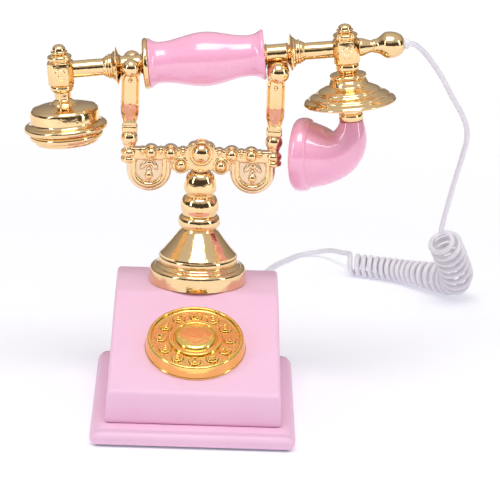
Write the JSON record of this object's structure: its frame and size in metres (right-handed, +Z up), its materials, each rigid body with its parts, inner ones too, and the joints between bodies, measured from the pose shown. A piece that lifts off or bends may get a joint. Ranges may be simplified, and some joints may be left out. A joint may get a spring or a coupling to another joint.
{
  "type": "cradle telephone",
  "caption": "Old-style desk telephone with a stepped base, push-button dial, turned pedestal, ornate cradle and a long handset with a horn mouthpiece and curly cord.",
  "frame": {"origin": "middle of the base's footprint, on the table under the rubber feet", "axes": "+Z up; +X to the user's right, towards the transmitter and cord end of the handset; +Y away from the user, towards the pedestal and the back of the base"},
  "size_m": [0.3378, 0.5088, 0.2658],
  "materials": {
    "pink": "satin moulded plastic",
    "rose": "glossy moulded plastic",
    "gilt": "gold-plated plastic, polished",
    "brass": "polished and lacquered",
    "steel": "zinc plated",
    "dark_plastic": "moulded",
    "board": "fibreglass board",
    "rubber": "moulded",
    "cord": "soft white plastic"
  },
  "bodies": {
    "base": {"plinth": "pink", "base_plate": "dark_plastic", "rubber_feet": "rubber", "base_screws": "steel", "housing": "pink", "ballast_weight": "steel", "circuit_board": "board", "ringer": "dark_plastic", "line_socket": "dark_plastic", "cord_grommet": "cord", "hook_switch": "dark_plastic", "dial_body": "gilt", "dial_face": "gilt", "dial_hub": "gilt", "keypad_board": "board", "keypad_mat": "rubber", "pedestal_foot": "brass", "pedestal_column": "brass", "pedestal_nut": "steel", "hook_spring": "steel", "cord_curly": "cord", "cord_lower": "cord"},
    "cradle": {"cradle": "brass", "cradle_stem": "steel", "receiver_fork": "brass", "transmitter_fork": "brass"},
    "handset": {"grip": "rose", "grip_ring": "gilt", "receiver_ferrule": "gilt", "transmitter_ferrule": "gilt", "receiver_tube": "gilt", "transmitter_tube": "gilt", "handset_tie_rod": "steel", "receiver_block": "gilt", "receiver_finial": "gilt", "receiver_shell": "gilt", "receiver_cap": "gilt", "receiver_capsule": "dark_plastic", "transmitter_block": "gilt", "transmitter_finial": "gilt", "transmitter_bell": "gilt", "bell_plate": "gilt", "microphone": "dark_plastic", "horn_collar": "gilt", "horn": "rose", "tail_bulb": "gilt", "cord_relief": "cord", "cord_upper": "cord"},
    "key_1": {"key_1": "gilt"},
    "key_2": {"key_2": "gilt"},
    "key_3": {"key_3": "gilt"},
    "key_4": {"key_4": "gilt"},
    "key_5": {"key_5": "gilt"},
    "key_6": {"key_6": "gilt"},
    "key_7": {"key_7": "gilt"},
    "key_8": {"key_8": "gilt"},
    "key_9": {"key_9": "gilt"},
    "key_0": {"key_0": "gilt"},
    "key_hash": {"key_hash": "gilt"},
    "key_star": {"key_star": "gilt"}
  },
  "joints": [
    {"name": "handset_lift", "type": "slide", "parent": "base", "child": "handset", "axis": [0, 0, 1], "range_m": [0, 0.08]},
    {"name": "cradle_rise", "type": "slide", "parent": "base", "child": "cradle", "axis": [0, 0, 1], "range_m": [0, 0.005], "deforming": ["hook_spring"]},
    {"name": "key_1_press", "type": "slide", "parent": "base", "child": "key_1", "axis": [0, 0.4, -0.9165], "range_m": [0, 0.0018], "stiffness_N_per_m": 300, "springref_m": -0.0005},
    {"name": "key_2_press", "type": "slide", "parent": "base", "child": "key_2", "axis": [0, 0.4, -0.9165], "range_m": [0, 0.0018], "stiffness_N_per_m": 300, "springref_m": -0.0005},
    {"name": "key_3_press", "type": "slide", "parent": "base", "child": "key_3", "axis": [0, 0.4, -0.9165], "range_m": [0, 0.0018], "stiffness_N_per_m": 300, "springref_m": -0.0005},
    {"name": "key_4_press", "type": "slide", "parent": "base", "child": "key_4", "axis": [0, 0.4, -0.9165], "range_m": [0, 0.0018], "stiffness_N_per_m": 300, "springref_m": -0.0005},
    {"name": "key_5_press", "type": "slide", "parent": "base", "child": "key_5", "axis": [0, 0.4, -0.9165], "range_m": [0, 0.0018], "stiffness_N_per_m": 300, "springref_m": -0.0005},
    {"name": "key_6_press", "type": "slide", "parent": "base", "child": "key_6", "axis": [0, 0.4, -0.9165], "range_m": [0, 0.0018], "stiffness_N_per_m": 300, "springref_m": -0.0005},
    {"name": "key_7_press", "type": "slide", "parent": "base", "child": "key_7", "axis": [0, 0.4, -0.9165], "range_m": [0, 0.0018], "stiffness_N_per_m": 300, "springref_m": -0.0005},
    {"name": "key_8_press", "type": "slide", "parent": "base", "child": "key_8", "axis": [0, 0.4, -0.9165], "range_m": [0, 0.0018], "stiffness_N_per_m": 300, "springref_m": -0.0005},
    {"name": "key_9_press", "type": "slide", "parent": "base", "child": "key_9", "axis": [0, 0.4, -0.9165], "range_m": [0, 0.0018], "stiffness_N_per_m": 300, "springref_m": -0.0005},
    {"name": "key_0_press", "type": "slide", "parent": "base", "child": "key_0", "axis": [0, 0.4, -0.9165], "range_m": [0, 0.0018], "stiffness_N_per_m": 300, "springref_m": -0.0005},
    {"name": "key_hash_press", "type": "slide", "parent": "base", "child": "key_hash", "axis": [0, 0.4, -0.9165], "range_m": [0, 0.0018], "stiffness_N_per_m": 300, "springref_m": -0.0005},
    {"name": "key_star_press", "type": "slide", "parent": "base", "child": "key_star", "axis": [0, 0.4, -0.9165], "range_m": [0, 0.0018], "stiffness_N_per_m": 300, "springref_m": -0.0005}
  ],
  "couplings": [
    {"joint": "cradle_rise", "follows": "handset_lift", "ratio": 0.0625}
  ]
}
